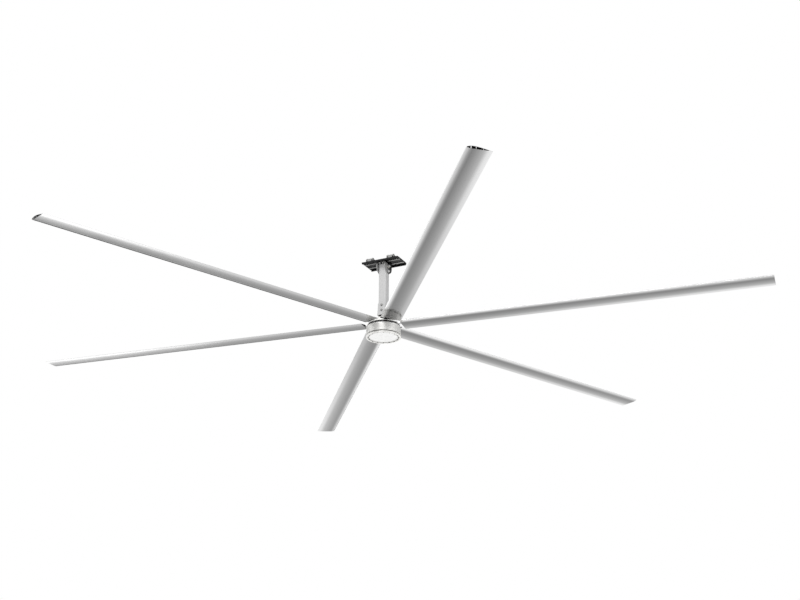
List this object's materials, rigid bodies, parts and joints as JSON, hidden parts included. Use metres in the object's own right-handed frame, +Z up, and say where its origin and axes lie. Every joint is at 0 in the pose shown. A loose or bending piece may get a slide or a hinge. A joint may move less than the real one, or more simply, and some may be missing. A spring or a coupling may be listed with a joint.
{
  "type": "high volume low speed fan",
  "caption": "Large ceiling fan with long hollow blades on a direct drive drum motor, hung by a square downrod and pivoting yoke from a beam clamp plate.",
  "frame": {"origin": "centre of the mounting plate's top face, where it meets the beam", "axes": "+Z up, +X along the plate's long side and the beam, +Y across the beam"},
  "size_m": [7.259, 6.8328, 0.8165],
  "materials": {
    "bracket_steel": "satin dark grey powder coat",
    "yoke_steel": "galvanised sheet, dulled",
    "clamp_steel": "hot dip galvanised",
    "dark_steel": "black oxide",
    "zinc_steel": "bright zinc plate",
    "rod_paint": "light grey powder coat",
    "turned_steel": "turned and oiled",
    "core_steel": "stacked laminations",
    "copper": "enamelled copper",
    "bush_bronze": "plain bearing bronze",
    "washer_plastic": "friction washer plastic",
    "gland_plastic": "black nylon",
    "magnet": "coated magnet",
    "drum_aluminium": "fine turned aluminium",
    "cover_dark": "black paint",
    "disc_white": "white cap",
    "arm_aluminium": "mill finish",
    "blade_aluminium": "satin anodised extrusion"
  },
  "bodies": {
    "ceiling_mount": {"mounting_plate": "bracket_steel", "upper_yoke": "yoke_steel", "yoke_screws": "zinc_steel", "yoke_nuts": "zinc_steel", "pivot_bolt": "zinc_steel", "pivot_nut": "zinc_steel"},
    "hanger": {"downrod": "rod_paint", "rod_bushes": "bush_bronze", "friction_washers": "washer_plastic", "lock_bolt": "zinc_steel", "lock_nut": "zinc_steel", "lock_spacer": "zinc_steel", "cable_gland": "gland_plastic", "lower_yoke": "rod_paint", "lower_yoke_bolts": "clamp_steel", "lower_yoke_nuts": "clamp_steel", "motor_shaft": "dark_steel", "shaft_flange_bolts": "dark_steel", "shaft_locknut": "turned_steel", "stator_carrier": "turned_steel", "stator_core": "core_steel", "stator_windings": "copper", "bearing_inner_races": "turned_steel"},
    "rotor": {"bearing_outer_races": "turned_steel", "bearing_balls": "turned_steel", "rotor_drum": "drum_aluminium", "rotor_magnets": "magnet", "top_end_cover": "cover_dark", "top_cover_screws": "zinc_steel", "bearing_housing": "drum_aluminium", "housing_screws": "zinc_steel", "seal_cap": "drum_aluminium", "bottom_end_cover": "cover_dark", "end_ring": "drum_aluminium", "end_ring_screws": "dark_steel", "bottom_cover_disc": "disc_white", "hub_clamp_plate": "drum_aluminium", "arm_bolts": "zinc_steel", "blade_bolts": "zinc_steel", "blade_arm_1": "arm_aluminium", "blade_arm_2": "arm_aluminium", "blade_arm_3": "arm_aluminium", "blade_arm_4": "arm_aluminium", "blade_arm_5": "arm_aluminium", "blade_arm_6": "arm_aluminium", "blade_1": "blade_aluminium", "blade_2": "blade_aluminium", "blade_3": "blade_aluminium", "blade_4": "blade_aluminium", "blade_5": "blade_aluminium", "blade_6": "blade_aluminium"},
    "clamp_1": {"beam_clamp_1": "clamp_steel", "clamp_bolts_1": "dark_steel"},
    "clamp_2": {"beam_clamp_2": "clamp_steel", "clamp_bolts_2": "dark_steel"},
    "clamp_3": {"beam_clamp_3": "clamp_steel", "clamp_bolts_3": "dark_steel"},
    "clamp_4": {"beam_clamp_4": "clamp_steel", "clamp_bolts_4": "dark_steel"}
  },
  "joints": [
    {"name": "slope_swing", "type": "hinge", "parent": "ceiling_mount", "child": "hanger", "pos_m": [0, 0, -0.047], "axis": [1, 0, 0], "range_deg": [-10, 10]},
    {"name": "rotor_spin", "type": "hinge", "parent": "hanger", "child": "rotor", "pos_m": [0, 0, -0.658], "axis": [0, 0, -1], "continuous": true},
    {"name": "clamp_1_slide", "type": "slide", "parent": "ceiling_mount", "child": "clamp_1", "axis": [0, -1, 0], "range_m": [-0.006, 0.006]},
    {"name": "clamp_2_slide", "type": "slide", "parent": "ceiling_mount", "child": "clamp_2", "axis": [0, -1, 0], "range_m": [-0.006, 0.006]},
    {"name": "clamp_3_slide", "type": "slide", "parent": "ceiling_mount", "child": "clamp_3", "axis": [0, 1, 0], "range_m": [-0.006, 0.006]},
    {"name": "clamp_4_slide", "type": "slide", "parent": "ceiling_mount", "child": "clamp_4", "axis": [0, 1, 0], "range_m": [-0.006, 0.006]}
  ]
}
